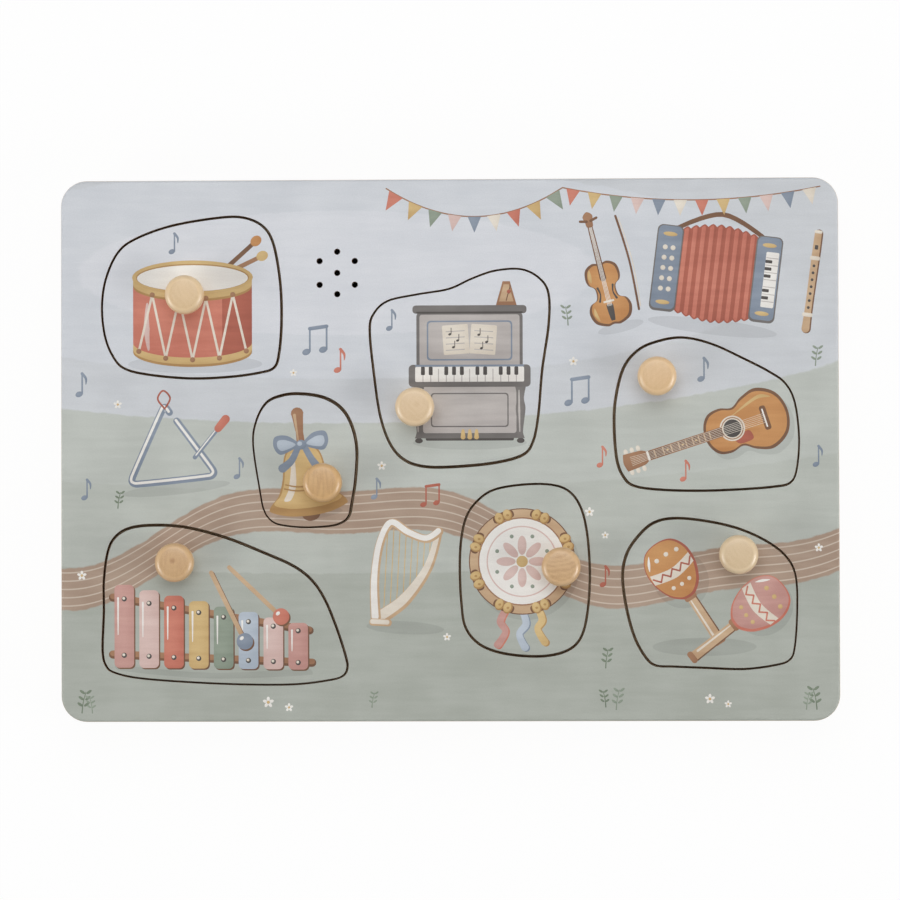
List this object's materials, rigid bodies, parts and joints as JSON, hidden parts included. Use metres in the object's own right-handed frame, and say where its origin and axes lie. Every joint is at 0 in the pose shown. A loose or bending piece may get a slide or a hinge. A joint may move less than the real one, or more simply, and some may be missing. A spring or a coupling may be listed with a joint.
{
  "type": "sound puzzle",
  "caption": "Flat wooden board puzzle with lift-out picture pieces on turned knobs, each played as a sound by a light sensor, a speaker and batteries inside.",
  "frame": {"origin": "middle of the back face, on the plane that the puzzle lies on", "axes": "+X to the right along the long side, +Y towards the top edge of the picture, +Z out of the picture face"},
  "size_m": [0.3, 0.209, 0.0341],
  "materials": {
    "printed_ply": "matt printed plywood",
    "plain_ply": "sanded bare plywood",
    "batten_wood": "sanded bare softwood",
    "knob_wood": "turned wood under thin clear lacquer",
    "screw_steel": "zinc plated",
    "speaker_foam": "soft foam",
    "speaker_steel": "pressed steel",
    "speaker_film": "milky film",
    "magnet_zinc": "plated",
    "tag_board": "resin board",
    "circuit_laminate": "solder mask",
    "chip_resin": "cast resin",
    "part_cases": "moulded",
    "spacer_nylon": "moulded",
    "sensor_resin": "clear coated ceramic",
    "cap_plastic": "moulded",
    "wire_sleeve": "soft sleeve",
    "tray_plastic": "fine moulded grain",
    "cell_jacket": "printed jacket",
    "contact_nickel": "nickel plated",
    "switch_case": "moulded",
    "switch_button": "moulded"
  },
  "bodies": {
    "root": {"top_board": "printed_ply", "recess_floor": "plain_ply", "back_cover": "plain_ply", "rail_front": "batten_wood", "rail_back": "batten_wood", "rail_left": "batten_wood", "rail_right": "batten_wood", "cover_screws": "screw_steel", "board_screws": "screw_steel", "switch_screws": "screw_steel", "speaker_gasket": "speaker_foam", "speaker_frame": "speaker_steel", "speaker_cone": "speaker_film", "speaker_magnet": "magnet_zinc", "speaker_terminals": "tag_board", "circuit_board": "circuit_laminate", "sound_chip": "chip_resin", "board_parts": "part_cases", "board_spacers": "spacer_nylon", "light_sensors": "sensor_resin", "sensor_holders": "cap_plastic", "sensor_leads": "wire_sleeve", "speaker_lead": "wire_sleeve", "battery_lead": "wire_sleeve", "switch_lead": "wire_sleeve", "battery_tray": "tray_plastic", "battery_cells": "cell_jacket", "contact_plates": "contact_nickel", "contact_springs": "contact_nickel", "switch_body": "switch_case"},
    "drum": {"drum_piece": "printed_ply", "drum_knob": "knob_wood"},
    "piano": {"piano_piece": "printed_ply", "piano_knob": "knob_wood"},
    "guitar": {"guitar_piece": "printed_ply", "guitar_knob": "knob_wood"},
    "bell": {"bell_piece": "printed_ply", "bell_knob": "knob_wood"},
    "xylophone": {"xylophone_piece": "printed_ply", "xylophone_knob": "knob_wood"},
    "tambourine": {"tambourine_piece": "printed_ply", "tambourine_knob": "knob_wood"},
    "maracas": {"maracas_piece": "printed_ply", "maracas_knob": "knob_wood"},
    "battery_lid": {"battery_lid": "tray_plastic", "lid_screws": "screw_steel"},
    "power_switch": {"switch_slider": "switch_button"}
  },
  "joints": [
    {"name": "drum_lift", "type": "slide", "parent": "root", "child": "drum", "axis": [0, 0, 1], "range_m": [0, 0.04]},
    {"name": "piano_lift", "type": "slide", "parent": "root", "child": "piano", "axis": [0, 0, 1], "range_m": [0, 0.04]},
    {"name": "guitar_lift", "type": "slide", "parent": "root", "child": "guitar", "axis": [0, 0, 1], "range_m": [0, 0.04]},
    {"name": "bell_lift", "type": "slide", "parent": "root", "child": "bell", "axis": [0, 0, 1], "range_m": [0, 0.04]},
    {"name": "xylophone_lift", "type": "slide", "parent": "root", "child": "xylophone", "axis": [0, 0, 1], "range_m": [0, 0.04]},
    {"name": "tambourine_lift", "type": "slide", "parent": "root", "child": "tambourine", "axis": [0, 0, 1], "range_m": [0, 0.04]},
    {"name": "maracas_lift", "type": "slide", "parent": "root", "child": "maracas", "axis": [0, 0, 1], "range_m": [0, 0.04]},
    {"name": "lid_off", "type": "slide", "parent": "root", "child": "battery_lid", "axis": [0, 0, -1], "range_m": [0, 0.03]},
    {"name": "switch_travel", "type": "slide", "parent": "root", "child": "power_switch", "axis": [1, 0, 0], "range_m": [0, 0.003]}
  ]
}
